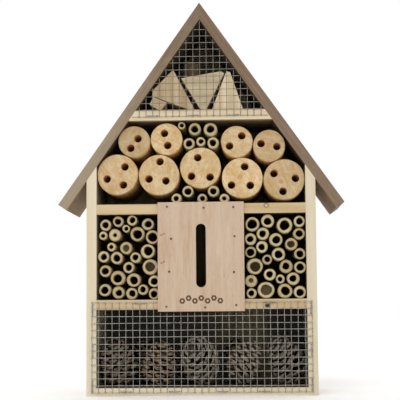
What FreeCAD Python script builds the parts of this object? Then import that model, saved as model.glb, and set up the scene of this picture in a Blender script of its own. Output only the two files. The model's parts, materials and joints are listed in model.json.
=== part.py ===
import FreeCAD, Part
import math
import os
import Sketcher

# A gabled insect hotel, in millimetres.  The front faces -Y, +Z is up, and the
# origin lies in the middle of the underside that the house stands on.

DRIVING = {
    # the house
    "body_width": 232,
    "body_depth": 96,
    "wall_board": 10,
    "wall_height": 217,
    "roof_angle": 55,
    "roof_board": 10,
    "eave_overhang": 29,
    "base_board": 8,
    "shelf_board": 10,
    "lower_shelf_top": 96,
    "middle_shelf_top": 192.5,
    "back_board": 4,
    # the butterfly room in the middle
    "divider_board": 10,
    "divider_offset": 32,
    "plate_width": 87,
    "plate_board": 3,
    "plate_lap": 12,
    "plate_rise": 1.5,
    "slot_width": 10,
    "slot_height": 64,
    "slot_rise": 56,
    # drilled logs
    "log_clearance": 0.3,
    "log_roof_gap": 0.1,
    "log_setback": 4,
    "small_log_ratio": 0.78,
    "log_hole": 8,
    "log_hole_depth": 60,
    "shelf_over_logs": 2.5,
    # canes
    "cane_gap": 0.4,
    "cane_setback": 3,
    # pine cones
    "cone_clearance": 1.2,
    "cone_slenderness": 1.3,
    "cone_foot": 1.5,
    # offcuts in the attic
    "offcut_setback": 4,
    "offcut_length": 34,
    # wire mesh and its staples
    "wire": 0.7,
    "mesh_pitch": 6.9,
    "mesh_lap": 4.5,
    "attic_mesh_lap": 6.5,
    "mesh_edge_gap": 0.6,
    "staple_span": 10,
    "staple_leg": 6,
    # nails, screws and the hanger
    "nail_shank": 1.2,
    "nail_head": 2.2,
    "nail_cap": 0.6,
    "nail_length": 28,
    "frame_nail_edge": 24,
    "roof_nail_edge": 16,
    "ridge_nail_drop": 7,
    "ridge_nail_stagger": 6,
    "pin_length": 14,
    "hole_clearance": 0.1,
    "hanger_width": 34,
    "hanger_height": 46,
    "hanger_metal": 1.2,
    "keyhole_round": 9,
    "keyhole_slot": 4.5,
    "keyhole_rise": 11,
    "keyhole_recess": 4,
    "screw_shank": 3,
    "screw_head": 5.5,
    "screw_cap": 1.8,
    "screw_length": 14,
    "screw_spacing": 20,
}

DERIVED = {
    "body_half": "=body_width / 2",
    "inner_half": "=body_width / 2 - wall_board",
    "half_depth": "=body_depth / 2",
    "front": "=-body_depth / 2",
    "room_depth": "=body_depth - back_board",
    "slope": "=tan(roof_angle * 1deg)",
    "ridge_under": "=wall_height + body_half * slope",
    "ridge_top": "=ridge_under + roof_board / cos(roof_angle * 1deg)",
    "wall_inner_height": "=wall_height + wall_board * slope",
    "eave_half": "=body_half + eave_overhang",
    "eave_outer": "=ridge_top - eave_half * slope",
    "eave_under_half": "=eave_half - roof_board * sin(roof_angle * 1deg)",
    "eave_under": "=eave_outer - roof_board * cos(roof_angle * 1deg)",
    "log_pitch": "=2 * inner_half / 5",
    "log_diameter": "=log_pitch - log_clearance",
    "small_log_diameter": "=log_diameter * small_log_ratio",
    "log_length": "=room_depth - log_setback",
    "divider_height": "=middle_shelf_top - shelf_board - lower_shelf_top",
    "plate_bottom": "=lower_shelf_top - plate_lap",
    "plate_top": "=middle_shelf_top + plate_rise",
    "plate_height": "=plate_top - plate_bottom",
    "slot_middle": "=plate_bottom + slot_rise",
    "staple_inset": "=1.5 * wire",
}

# How far each large log is wedged up off the middle shelf, and its holes: the
# direction of each from the pith, in degrees, and its distance as a share of
# the log's radius.
LARGE_LOGS = (
    (9.95, ((47, 0.52), (-158, 0.55), (-61, 0.57))),
    (8.95, ((86, 0.665), (-160, 0.52), (-40, 0.43))),
    (15.95, ((105, 0.52), (-138, 0.595), (-45, 0.64))),
    (4.95, ((78, 0.57), (-148, 0.62), (-43, 0.52))),
    (2.95, ((148, 0.57), (6, 0.55), (-96, 0.57))),
)

# Each small log leans on one large log: its number, the steepest lean, in
# degrees from level, and its holes as above.
SMALL_LOGS = (
    (0, 63, ((40, 0.305), (-120, 0.455))),
    (1, 78, ((109, 0.395), (-80, 0.395))),
    (3, 98, ((50, 0.485), (-150, 0.52))),
    (4, 113, ((163, 0.52), (-6, 0.485))),
)

# The outer small logs are placed first, because the roof limits them.
OUTER_LOGS_FIRST = (0, 3, 1, 2)

# Canes in the order they are laid in: distance from the outer wall, outside
# diameter, bore, and how far a crooked cane is held up by its neighbours.
LEFT_CANES = (
    (58.5, 12, 7, 0), (22, 13, 7, 1), (35.5, 12.5, 7, 0), (8.5, 13, 8, 3.5), (47, 11, 6.5, 0),
    (58.5, 12.5, 7.5, 0), (37.5, 14.5, 9, 0), (21.5, 15.5, 9, 0), (9, 12.5, 7.5, 0),
    (32.5, 12, 7, 0), (54.5, 16.5, 10.5, 0), (20.5, 13, 8, 5), (39.5, 11.5, 6.5, 0),
    (7, 12, 7, 2), (52, 15, 10, 0), (15, 9.5, 4.5, 1), (30, 13, 7.5, 0.5), (57, 14.5, 10, 0),
    (6.5, 9, 4.5, 7), (18.5, 13, 4, 1), (41.5, 15, 10, 5.5), (30, 8, 4.5, 2.5),
    (9, 12, 7, 0), (52, 13, 7.5, 0), (22, 11.5, 7, 1), (36, 11, 6.5, 0.5),
)
RIGHT_CANES = (
    (55.5, 11, 6, 0), (7, 13, 8, 0), (22, 15.5, 9.5, 0), (41, 17.5, 12, 0),
    (56, 13, 5, 0), (13.5, 13.5, 7.5, 0), (26.5, 9.5, 5, 0), (37, 12.5, 7, 0),
    (6.5, 12.5, 8, 0), (20.5, 14, 7.5, 0), (52, 17, 11, 0), (39.5, 10.5, 6, 0),
    (28, 14, 8.5, 0), (6.5, 12, 7.5, 1), (56, 12, 8, 0), (15, 13, 8, 0), (44.5, 12.5, 7, 0),
    (30.5, 14, 8.5, 0.5), (56, 12.5, 7, 0.5), (7, 12.5, 7.5, 0), (43.5, 13, 7.5, 0),
    (21.5, 16.5, 11, 1.5), (54, 15, 10.5, 0), (6.5, 12, 7.5, 0), (38.5, 14, 8, 0),
)
# Over the middle log, measured from the middle of the house, in the same way.
TOP_CANES = ((0.5, 9.5, 5.5, 0.5), (-11.4, 12, 7.5, 0), (13, 12.5, 7.5, 1),
             (-5.5, 13, 8, 3), (10.5, 14.5, 8.5, 0), (-19, 8, 4.5, 0))
# On the middle shelf, and wedged up against the middle log.
SHELF_CANES = ((-24.5, 11, 5.5), (1.5, 10.5, 5.5), (24, 10.5, 4.5))
WEDGED_CANES = ((-13, 12, 7.5), (13, 12, 7))
CANE_ROWS = 6

# Cones: place along the house and from front to back as shares of the free
# run, and size as a share of the largest that fits.
CONES = ((0.0, 0.0, 0.98), (0.245, 0.06, 0.9), (0.49, 0.0, 1.0), (0.745, 0.06, 0.92),
         (1.0, 0.0, 1.0), (0.12, 1.0, 0.95), (0.4, 1.0, 1.0), (0.7, 1.0, 0.93))

# Offcut outlines as shares of the attic's height, from the middle of its floor,
# and whether the piece stands in the rear row.
OFFCUTS = (
    ("triangle_left", False, ((-0.09, 0), (-0.065, 0.025), (-0.29, 0.455), (-0.52, 0.225), (-0.52, 0.17))),
    ("small_block", False, ((-0.43, 0), (-0.36, 0.095), (-0.51, 0.16), (-0.55, 0.075))),
    ("slab_middle", False, ((0.06, 0), (0.265, 0.41), (0.23, 0.43), (-0.205, 0.36), (0, 0.02))),
    ("triangle_right", False, ((0.125, 0), (0.47, 0), (0.33, 0.42), (0.29, 0.43))),
    ("tall_rear", True, ((-0.21, 0), (-0.01, 0), (-0.01, 0.6), (-0.19, 0.64))),
    ("strip_rear", True, ((0.4, 0), (0.56, 0), (0.56, 0.12), (0.42, 0.335))),
)

# Plate nails: off the centre line of a shelf, and off that of a divider.
PLATE_SHELF_NAILS = (("middle", -34, 2), ("middle", 3, 0.5), ("middle", 33, 1),
                     ("lower", -35, -2), ("lower", 4, -3), ("lower", 35, -1))
PLATE_DIVIDER_NAILS = (("left", 2, 17), ("right", 2, 19), ("left", 0, -16), ("right", 1, -17))

# Rear nails: heights as shares of the wall's, and run along a board as a share
# of half its length.
REAR_WALL_NAILS = (0.15, 0.6, 0.92)
REAR_BOARD_NAIL = 0.7

# Staples: places along the mesh as shares of its width, or of half of it in
# the attic, counted in whole meshes.
BASE_STAPLES = (0.16, 0.38, 0.6, 0.78)
SHELF_STAPLES = (0.22, 0.81)
ATTIC_STAPLES = (-0.7, -0.1, 0.5)

doc = FreeCAD.newDocument("insect_hotel")
sizes = doc.addObject("Spreadsheet::Sheet", "Sizes")
for row, (alias, content) in enumerate(list(DRIVING.items()) + list(DERIVED.items()), 1):
    sizes.set("A%d" % row, alias)
    sizes.set("B%d" % row, str(content))
    sizes.setAlias("B%d" % row, alias)
doc.recompute()

parts = []
pilots = {}
UP = FreeCAD.Vector(0, 0, 1)
BACK = FreeCAD.Vector(0, 1, 0)
RIGHT = FreeCAD.Vector(1, 0, 0)


def size(alias):
    """The sheet's value, with a leading minus sign allowed."""
    if alias.startswith("-"):
        return -float(getattr(sizes, alias[1:]))
    return float(getattr(sizes, alias))


def cell(alias):
    """The expression that reads the same value."""
    return "-Sizes.%s" % alias[1:] if alias.startswith("-") else "Sizes.%s" % alias


def bind(thing, **bindings):
    """Ties each named property of an object to an expression."""
    for name, expression in bindings.items():
        thing.setExpression(name, expression)


def keep(thing, name):
    """Marks an object as one finished sub-part."""
    thing.Label = name
    parts.append(thing)
    return thing


def place(thing, position, direction=UP):
    """Puts a primitive's own +Z along a direction, from a position."""
    thing.Placement = FreeCAD.Placement(position, FreeCAD.Rotation(UP, direction))
    return thing


def rod(name, position, direction, radius, length):
    """A cylinder whose radius and length are expressions."""
    cylinder = doc.addObject("Part::Cylinder", name)
    bind(cylinder, Radius=radius, Height=length)
    return place(cylinder, position, direction)


def block(name, corner, extents):
    """A box from its lowest corner, with three expressions for its extents."""
    box = doc.addObject("Part::Box", name)
    bind(box, Length=extents[0], Width=extents[1], Height=extents[2])
    return place(box, FreeCAD.Vector(*corner))


def fuse(name, things):
    joined = doc.addObject("Part::MultiFuse", name)
    joined.Shapes = things
    return joined


def gather(name, things):
    """Loose solids that share one sub-part."""
    group = doc.addObject("Part::Compound", name)
    group.Links = things
    return group


def cut(name, base, tool):
    result = doc.addObject("Part::Cut", name)
    result.Base = base
    result.Tool = tool
    return result


def panel(name, corners, thickness, start):
    """A board with a polygon outline in XZ, from y = start back by thickness."""
    body = doc.addObject("PartDesign::Body", name + "_body")
    sketch = body.newObject("Sketcher::SketchObject", name + "_outline")
    plane = [item for item in body.Origin.OriginFeatures if item.Role == "XZ_Plane"][0]
    sketch.AttachmentSupport = [(plane, "")]
    sketch.MapMode = "FlatFace"
    points = [FreeCAD.Vector(size(x), size(z), 0) for x, z in corners]
    for index, point in enumerate(points):
        following = points[(index + 1) % len(points)]
        sketch.addGeometry(Part.LineSegment(point, following), False)
    for index, (x, z) in enumerate(corners):
        following = (index + 1) % len(corners)
        sketch.addConstraint(Sketcher.Constraint("Coincident", index, 2, following, 1))
        for kind, alias in (("DistanceX", x), ("DistanceY", z)):
            number = sketch.addConstraint(
                Sketcher.Constraint(kind, -1, 1, index, 1, size(alias)))
            sketch.setExpression("Constraints[%d]" % number, cell(alias))
    pad = body.newObject("PartDesign::Pad", name + "_pad")
    pad.Profile = sketch
    pad.Reversed = True
    bind(pad, Length=cell(thickness))
    sketch.Visibility = False
    body.setExpression("Placement.Base.y", cell(start))
    return body


def roof_under(x):
    """Height of the roof's underside over a place along the house."""
    return size("ridge_under") - abs(x) * size("slope")


# ---------------------------------------------------------------- the carcase

def boards():
    """The boards as they are cut, before any hole is drilled."""
    made = {}
    for side, sign in (("left", "-"), ("right", "")):
        made[side + "_wall"] = panel(side + "_wall", (
            (sign + "body_half", "floor_level"),
            (sign + "inner_half", "floor_level"),
            (sign + "inner_half", "wall_inner_height"),
            (sign + "body_half", "wall_height")), "room_depth", "front")
        made["roof_" + side] = panel("roof_" + side, (
            ("middle_line", "ridge_top"),
            (sign + "eave_half", "eave_outer"),
            (sign + "eave_under_half", "eave_under"),
            ("middle_line", "ridge_under")), "body_depth", "front")
    made["back_panel"] = panel("back_panel", (
        ("-body_half", "floor_level"),
        ("body_half", "floor_level"),
        ("body_half", "wall_height"),
        ("middle_line", "ridge_under"),
        ("-body_half", "wall_height")), "back_board", "back_face")
    inside = panel("inside", (
        ("-inner_half", "floor_level"),
        ("inner_half", "floor_level"),
        ("inner_half", "wall_inner_height"),
        ("middle_line", "ridge_under"),
        ("-inner_half", "wall_inner_height")), "room_depth", "front")
    for name, bottom, thickness in (
            ("base_board", "floor_level", "base_board"),
            ("lower_shelf", "lower_shelf_bottom", "shelf_board"),
            ("middle_shelf", "middle_shelf_bottom", "shelf_board"),
            ("attic_shelf", "attic_shelf_bottom", "shelf_board")):
        strip = block(name + "_strip", (-size("inner_half"), size("front"), size(bottom)),
                      ("2 * Sizes.inner_half", "Sizes.room_depth", cell(thickness)))
        trimmed = doc.addObject("Part::Common", name + "_trimmed")
        trimmed.Base = strip
        trimmed.Tool = inside
        made[name] = trimmed
    for side, sign in (("left", -1), ("right", 1)):
        x = sign * size("divider_offset") - size("divider_board") / 2
        made["divider_" + side] = block(
            "divider_%s_blank" % side, (x, size("front"), size("lower_shelf_top")),
            ("Sizes.divider_board", "Sizes.room_depth", "Sizes.divider_height"))
    made["front_plate"] = slotted_plate()
    return made


def slotted_plate():
    """The butterfly room's front: a thin plate with one upright, round-ended slot."""
    front = size("front") - size("plate_board")
    blank = block("front_plate_blank", (-size("plate_width") / 2, front, size("plate_bottom")),
                  ("Sizes.plate_width", "Sizes.plate_board", "Sizes.plate_height"))
    straight = (size("slot_height") - size("slot_width")) / 2
    ends = [rod("slot_end", FreeCAD.Vector(0, front, size("slot_middle") + end), BACK,
                "Sizes.slot_width / 2", "Sizes.plate_board") for end in (-straight, straight)]
    middle = block("slot_middle_cut",
                   (-size("slot_width") / 2, front, size("slot_middle") - straight),
                   ("Sizes.slot_width", "Sizes.plate_board", "Sizes.slot_height - Sizes.slot_width"))
    return cut("front_plate_slotted", blank, fuse("slot", ends + [middle]))


# ------------------------------------------------------------------ fasteners

def drill(boards_hit, name, position, direction, shank, length):
    """Makes a pilot hole for one fastener in each board that it goes through."""
    for board in boards_hit:
        hole = rod(name + "_pilot", position, direction,
                   "%s / 2 + Sizes.hole_clearance" % shank, length)
        pilots.setdefault(board, []).append(hole)


def nail(name, position, direction, length, boards_hit):
    """A round nail whose head lies on the surface at position."""
    cap = place(rod(name + "_cap", position, direction, "Sizes.nail_head / 2", "Sizes.nail_cap"),
                position - direction * size("nail_cap"), direction)
    shank = rod(name + "_shank", position, direction, "Sizes.nail_shank / 2", cell(length))
    drill(boards_hit, name, position, direction, "Sizes.nail_shank",
          "%s + Sizes.hole_clearance" % cell(length))
    return fuse(name, [cap, shank])


def plate_nails():
    front = size("front") - size("plate_board")
    middles = {"middle": size("middle_shelf_top") - size("shelf_board") / 2,
               "lower": size("lower_shelf_top") - size("shelf_board") / 2,
               "left": -size("divider_offset"), "right": size("divider_offset")}
    nails = []
    for shelf, x, rise in PLATE_SHELF_NAILS:
        at = FreeCAD.Vector(x, front, middles[shelf] + rise)
        nails.append(nail("plate_nail", at, BACK, "pin_length", ("front_plate", shelf + "_shelf")))
    for side, shift, rise in PLATE_DIVIDER_NAILS:
        at = FreeCAD.Vector(middles[side] + shift, front, size("slot_middle") + rise)
        nails.append(nail("plate_nail", at, BACK, "pin_length", ("front_plate", "divider_" + side)))
    keep(gather("plate_nails", nails), "plate_nails")


def both_ends(margin):
    """Front and back places the same distance in from the boards' edges."""
    return (size(margin) - size("half_depth"), size("half_depth") - size(margin))


def frame_nails():
    """Two nails through each wall into each board that ends on it."""
    heights = {"base_board": size("base_board") / 2,
               "lower_shelf": size("lower_shelf_top") - size("shelf_board") / 2,
               "middle_shelf": size("middle_shelf_top") - size("shelf_board") / 2}
    nails = []
    for sign, wall in ((-1, "left_wall"), (1, "right_wall")):
        for board, height in heights.items():
            for y in both_ends("frame_nail_edge"):
                at = FreeCAD.Vector(sign * size("body_half"), y, height)
                nails.append(nail("frame_nail", at, RIGHT * -sign, "nail_length", (wall, board)))
    keep(gather("frame_nails", nails), "frame_nails")


def roof_nails():
    """Nails square to each slope: two into the wall's top and two at the ridge."""
    angle = math.radians(size("roof_angle"))
    near_wall = (size("body_half") - size("wall_board") / 2) / math.cos(angle)
    near_wall += size("roof_board") * math.tan(angle)
    nails = []
    for sign, side in ((-1, "left"), (1, "right")):
        down_slope = FreeCAD.Vector(sign * math.cos(angle), 0, -math.sin(angle))
        inward = FreeCAD.Vector(-sign * math.sin(angle), 0, -math.cos(angle))
        other = "roof_right" if side == "left" else "roof_left"
        stagger = sign * size("ridge_nail_stagger")
        rows = ((near_wall, side + "_wall", 0), (size("ridge_nail_drop"), other, stagger))
        for run, into, shift in rows:
            for y in both_ends("roof_nail_edge"):
                at = FreeCAD.Vector(0, y + shift, size("ridge_top")) + down_slope * run
                nails.append(nail("roof_nail", at, inward, "pin_length", ("roof_" + side, into)))
    keep(gather("roof_nails", nails), "roof_nails")


def rear_nails(logs):
    """Nails through the back panel into the walls, the shelves and each log."""
    shelf_run = size("inner_half") * REAR_BOARD_NAIL
    walls = size("body_half") - size("wall_board") / 2
    spots = []
    for sign, wall in ((-1, "left_wall"), (1, "right_wall")):
        for height in REAR_WALL_NAILS:
            spots.append((sign * walls, size("wall_height") * height, wall))
        for board, run in (("base_board", shelf_run), ("lower_shelf", shelf_run),
                           ("middle_shelf", shelf_run), ("attic_shelf", shelf_run / 2)):
            middle = size(board + "_middle")
            spots.append((sign * run, middle, board))
    for name, x, z in logs:
        spots.append((x, z, name))
    nails = [nail("rear_nail", FreeCAD.Vector(x, size("half_depth"), z), BACK * -1,
                  "pin_length", ("back_panel", board)) for x, z, board in spots]
    keep(gather("rear_nails", nails), "rear_nails")


def hanger():
    """A keyhole plate screwed through the back panel into the attic shelf."""
    back = size("half_depth")
    foot = size("attic_shelf_middle")
    lowest = foot - size("shelf_board") / 2
    plate = block("hanger_blank", (-size("hanger_width") / 2, back, lowest),
                  ("Sizes.hanger_width", "Sizes.hanger_metal", "Sizes.hanger_height"))
    key = lowest + size("hanger_height") / 2
    rise = size("keyhole_rise")
    cuts = [
        rod("key_round", FreeCAD.Vector(0, back, key), BACK,
            "Sizes.keyhole_round / 2", "Sizes.hanger_metal"),
        block("key_slot", (-size("keyhole_slot") / 2, back, key),
              ("Sizes.keyhole_slot", "Sizes.hanger_metal", "Sizes.keyhole_rise")),
        rod("key_end", FreeCAD.Vector(0, back, key + rise), BACK,
            "Sizes.keyhole_slot / 2", "Sizes.hanger_metal"),
    ]
    screws = []
    outward = size("hanger_metal")
    for x in (-size("screw_spacing") / 2, size("screw_spacing") / 2):
        at = FreeCAD.Vector(x, back + outward, foot)
        cap = rod("screw_cap", at, BACK, "Sizes.screw_head / 2", "Sizes.screw_cap")
        shank = rod("screw_shank", at, BACK * -1, "Sizes.screw_shank / 2", "Sizes.screw_length")
        screws.append(fuse("hanger_screw", [cap, shank]))
        drill(("hanger_plate", "back_panel", "attic_shelf"), "screw", at, BACK * -1,
              "Sizes.screw_shank", "Sizes.screw_length + Sizes.hole_clearance")
    margin = size("keyhole_recess")
    recess = block("hanger_recess",
                   (-size("keyhole_round") / 2 - margin / 2, size("back_face"),
                    key - size("keyhole_round") / 2 - margin / 2),
                   ("Sizes.keyhole_round + Sizes.keyhole_recess", "Sizes.back_board",
                    "Sizes.keyhole_round + Sizes.keyhole_rise + Sizes.keyhole_recess"))
    pilots.setdefault("back_panel", []).append(recess)
    keep(gather("hanger_screws", screws), "hanger_screws")
    return cut("hanger_keyed", plate, fuse("keyhole", cuts))


# --------------------------------------------------------------- wire mesh

def wire_panel(name, uprights, levels):
    """Welded mesh: uprights against the boards, level wires in front of them."""
    wires = []
    first = size("front") - size("wire") / 2
    second = first - size("wire")
    for x, low, high in uprights:
        upright = doc.addObject("Part::Cylinder", name + "_upright")
        bind(upright, Radius="Sizes.wire / 2")
        upright.Height = high - low
        wires.append(place(upright, FreeCAD.Vector(x, first, low)))
    for z, left, right in levels:
        level = doc.addObject("Part::Cylinder", name + "_level")
        bind(level, Radius="Sizes.wire / 2")
        level.Height = right - left
        wires.append(place(level, FreeCAD.Vector(left, second, z), RIGHT))
    keep(gather(name, wires), name)


def staple(name, middle, along, depth, board):
    """A staple over a wire: its crown stands off the board by depth."""
    gauge = size("wire")
    half = size("staple_span") / 2
    across = along * half
    reach = size("staple_leg") + depth
    outer = FreeCAD.Vector(middle.x, size("front") - depth - gauge, middle.z)
    crown = doc.addObject("Part::Box", name + "_crown")
    long_x = abs(along.x) > abs(along.z)
    span = "Sizes.staple_span + Sizes.wire"
    extents = (span, "Sizes.wire", "Sizes.wire") if long_x else ("Sizes.wire", "Sizes.wire", span)
    bind(crown, Length=extents[0], Width=extents[1], Height=extents[2])
    half_gauge = FreeCAD.Vector(gauge / 2, 0, gauge / 2)
    place(crown, outer - across - half_gauge)
    legs = []
    for end in (-1, 1):
        corner = outer + across * end - half_gauge
        leg = doc.addObject("Part::Box", name + "_leg")
        bind(leg, Length="Sizes.wire", Height="Sizes.wire")
        leg.Width = gauge + reach
        legs.append(place(leg, corner))
        socket = doc.addObject("Part::Box", name + "_socket")
        slack = size("hole_clearance")
        bind(socket, Length="Sizes.wire + 2 * Sizes.hole_clearance",
             Height="Sizes.wire + 2 * Sizes.hole_clearance")
        socket.Width = gauge + reach + slack
        pilots.setdefault(board, []).append(place(socket, corner - FreeCAD.Vector(slack, 0, slack)))
    return fuse(name, [crown] + legs)


def lower_mesh():
    """Mesh over the cone room, notched round the foot of the front plate."""
    side = size("inner_half") + size("mesh_lap")
    columns = round(2 * side / size("mesh_pitch"))
    pitch = 2 * side / columns
    bottom = size("base_board") - size("mesh_lap")
    top = size("lower_shelf_top") - size("wire")
    rows = int((top - bottom) / pitch)
    notch_half = size("plate_width") / 2 + size("wire")
    notch_level = size("plate_bottom") - size("mesh_edge_gap")
    end = size("wire")
    uprights = []
    for index in range(columns + 1):
        x = index * pitch - side
        high = notch_level if abs(x) < notch_half else bottom + rows * pitch + end
        uprights.append((x, bottom - end, high))
    levels = []
    for index in range(rows + 1):
        z = bottom + index * pitch
        if z + end > notch_level:
            levels.append((z, -side - end, -notch_half))
            levels.append((z, notch_half, side + end))
        else:
            levels.append((z, -side - end, side + end))
    wire_panel("lower_mesh", uprights, levels)

    staples = []
    beside = size("staple_inset")
    for sign, wall in ((-1, "left_wall"), (1, "right_wall")):
        for row in (1, rows // 2, rows - 1):
            at = FreeCAD.Vector(sign * (side - beside), 0, bottom + row * pitch)
            staples.append(staple("mesh_staple", at, UP, 2 * size("wire"), wall))
    for share in BASE_STAPLES:
        at = FreeCAD.Vector(round(share * columns) * pitch - side, 0, bottom + beside)
        staples.append(staple("mesh_staple", at, RIGHT, size("wire"), "base_board"))
    for share in SHELF_STAPLES:
        at = FreeCAD.Vector(round(share * columns) * pitch - side, 0, bottom + rows * pitch - beside)
        staples.append(staple("mesh_staple", at, RIGHT, size("wire"), "lower_shelf"))
    keep(gather("lower_staples", staples), "lower_staples")


def attic_mesh():
    """A triangle of mesh, trimmed to the roof and stapled to the attic shelf."""
    pitch = size("mesh_pitch")
    gap = size("mesh_edge_gap") / math.cos(math.radians(size("roof_angle")))
    bottom = size("attic_shelf_top") - size("attic_mesh_lap")
    end = size("wire")
    reach = (roof_under(0) - gap - bottom - end) / size("slope")
    uprights = []
    columns = int(reach / pitch)
    for index in range(-columns, columns + 1):
        x = index * pitch
        high = roof_under(abs(x) + end / 2) - gap
        if high - bottom > pitch:
            uprights.append((x, bottom - end, high))
    levels = []
    rows = int((roof_under(0) - gap - bottom) / pitch)
    for index in range(rows):
        z = bottom + index * pitch
        half = (roof_under(0) - gap - z - end / 2) / size("slope")
        if half > pitch / 2:
            levels.append((z, -half, half))
    wire_panel("attic_mesh", uprights, levels)
    staples = []
    for share in ATTIC_STAPLES:
        at = FreeCAD.Vector(round(share * columns) * pitch, 0, bottom + size("staple_inset"))
        staples.append(staple("attic_staple", at, RIGHT, size("wire"), "attic_shelf"))
    keep(gather("attic_staples", staples), "attic_staples")


# --------------------------------------------------------------- the filling

def roof_room(x, z):
    """Distance from a point to the roof's underside, square to the slope."""
    return (roof_under(abs(x)) - z) * math.cos(math.radians(size("roof_angle")))


def lean_place(x, z, reach, lean):
    """The point a distance from another one in a direction given in degrees."""
    angle = math.radians(lean)
    return x + reach * math.cos(angle), z + reach * math.sin(angle)


def log_places():
    """Middles and radii of all logs, large ones first, each with its holes.
    A log that would meet the roof or its neighbour is moved down or inwards."""
    places = []
    large = size("log_diameter") / 2
    small = size("small_log_diameter") / 2
    slant = math.cos(math.radians(size("roof_angle")))
    for index, (lift, holes) in enumerate(LARGE_LOGS):
        x = (index - 2) * size("log_pitch")
        under_roof = roof_under(abs(x)) - (large + size("log_roof_gap")) / slant
        z = min(size("middle_shelf_top") + large + lift, under_roof)
        places.append(("large_log_%d" % (index + 1), x, z, large, holes))
    reach = large + small + size("log_clearance")
    middles = {}
    for index in OUTER_LOGS_FIRST:
        under, lean, holes = SMALL_LOGS[index]
        inwards = -1 if places[under][1] < 0 else 1
        others = [middle for number, middle in middles.items() if abs(number - index) == 1]
        while True:
            x, z = lean_place(places[under][1], places[under][2], reach, lean)
            beside = [math.hypot(x - other[0], z - other[1]) for other in others]
            clear = min(beside, default=reach) >= 2 * small + size("log_clearance")
            if clear and roof_room(x, z) >= small + size("log_roof_gap"):
                break
            lean += inwards
        middles[index] = (x, z)
    for index, (under, lean, holes) in enumerate(SMALL_LOGS):
        places.append(("small_log_%d" % (index + 1), *middles[index], small, holes))
    return places


def log(name, x, z, holes):
    """One round log with blind holes drilled in from its front end."""
    kind = "log_diameter" if name.startswith("large") else "small_log_diameter"
    front = size("front") + size("log_setback")
    timber = rod(name + "_timber", FreeCAD.Vector(x, front, z), BACK,
                 "Sizes.%s / 2" % kind, "Sizes.log_length")
    bores = []
    for direction, share in holes:
        across, up = lean_place(x, z, share * size(kind) / 2, direction)
        at = FreeCAD.Vector(across, front, up)
        bores.append(rod(name + "_hole", at, BACK, "Sizes.log_hole / 2", "Sizes.log_hole_depth"))
    return cut(name + "_drilled", timber, fuse(name + "_holes", bores))


def settle(canes, floor, ceiling, left, right, obstacles):
    """Lays canes in one after another: each drops until it meets what lies below.
    A cane with no room left is put aside."""
    gap = size("cane_gap")
    laid = []
    for x, outside, bore, held in canes:
        radius = outside / 2
        x = min(max(x, left + radius), right - radius)
        z = floor + radius
        for other_x, other_z, other in obstacles + [item[:3] for item in laid]:
            reach = radius + other + gap
            if abs(other_x - x) < reach:
                z = max(z, other_z + math.sqrt(reach ** 2 - (other_x - x) ** 2))
        z += held
        if z + radius <= ceiling:
            laid.append((x, z, radius, bore / 2))
    return laid


def cane(name, x, z, radius, bore, setback):
    """One hollow cane from near the front to the back panel."""
    front = size("front") + setback
    length = size("room_depth") - setback
    tube = doc.addObject("Part::Cylinder", name + "_wall")
    tube.Radius = radius
    tube.Height = length
    place(tube, FreeCAD.Vector(x, front, z), BACK)
    hollow = doc.addObject("Part::Cylinder", name + "_hollow")
    hollow.Radius = bore
    hollow.Height = length
    place(hollow, FreeCAD.Vector(x, front, z), BACK)
    return cut(name, tube, hollow)


def cane_group(name, laid):
    """The canes of one row, their front ends a little uneven."""
    step = size("cane_setback") / 3
    canes = [cane(name + "_cane", x, z, radius, bore, size("cane_setback") + step * (number % 3 - 1))
             for number, (x, z, radius, bore) in enumerate(laid)]
    keep(gather(name, canes), name)


def cane_room(side, sign, schedule):
    """Rows of canes between an outer wall and the butterfly room."""
    wall = sign * size("inner_half")
    divider = sign * (size("divider_offset") + size("divider_board") / 2)
    left, right = min(wall, divider), max(wall, divider)
    canes = [(wall - sign * away, outside, bore, held) for away, outside, bore, held in schedule]
    laid = settle(canes, size("lower_shelf_top"), size("middle_shelf_bottom"), left, right, [])
    room = size("middle_shelf_bottom") - size("lower_shelf_top")
    bands = [[] for row in range(CANE_ROWS)]
    for item in laid:
        share = (item[1] - size("lower_shelf_top")) / room
        bands[int(share * CANE_ROWS)].append(item)
    for number, band in enumerate(bands, 1):
        cane_group("%s_canes_row_%d" % (side, number), band)
    print(side, "canes laid", len(laid), "of", len(canes))


def middle_canes(logs):
    """The canes packed round the middle log."""
    round_logs = [(x, z, radius) for name, x, z, radius, holes in logs]
    middle = logs[2]
    over = settle(TOP_CANES, middle[2], size("attic_shelf_bottom"),
                  -size("inner_half"), size("inner_half"), round_logs)
    cane_group("top_canes", over)
    under = [(x, size("middle_shelf_top") + outside / 2, outside / 2, bore / 2)
             for x, outside, bore in SHELF_CANES]
    for x, outside, bore in WEDGED_CANES:
        reach = middle[3] + outside / 2 + size("cane_gap")
        z = middle[2] - math.sqrt(reach ** 2 - (x - middle[1]) ** 2)
        under.append((x, z, outside / 2, bore / 2))
    cane_group("bottom_canes", under)
    print("top canes laid", len(over), "of", len(TOP_CANES))


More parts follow.
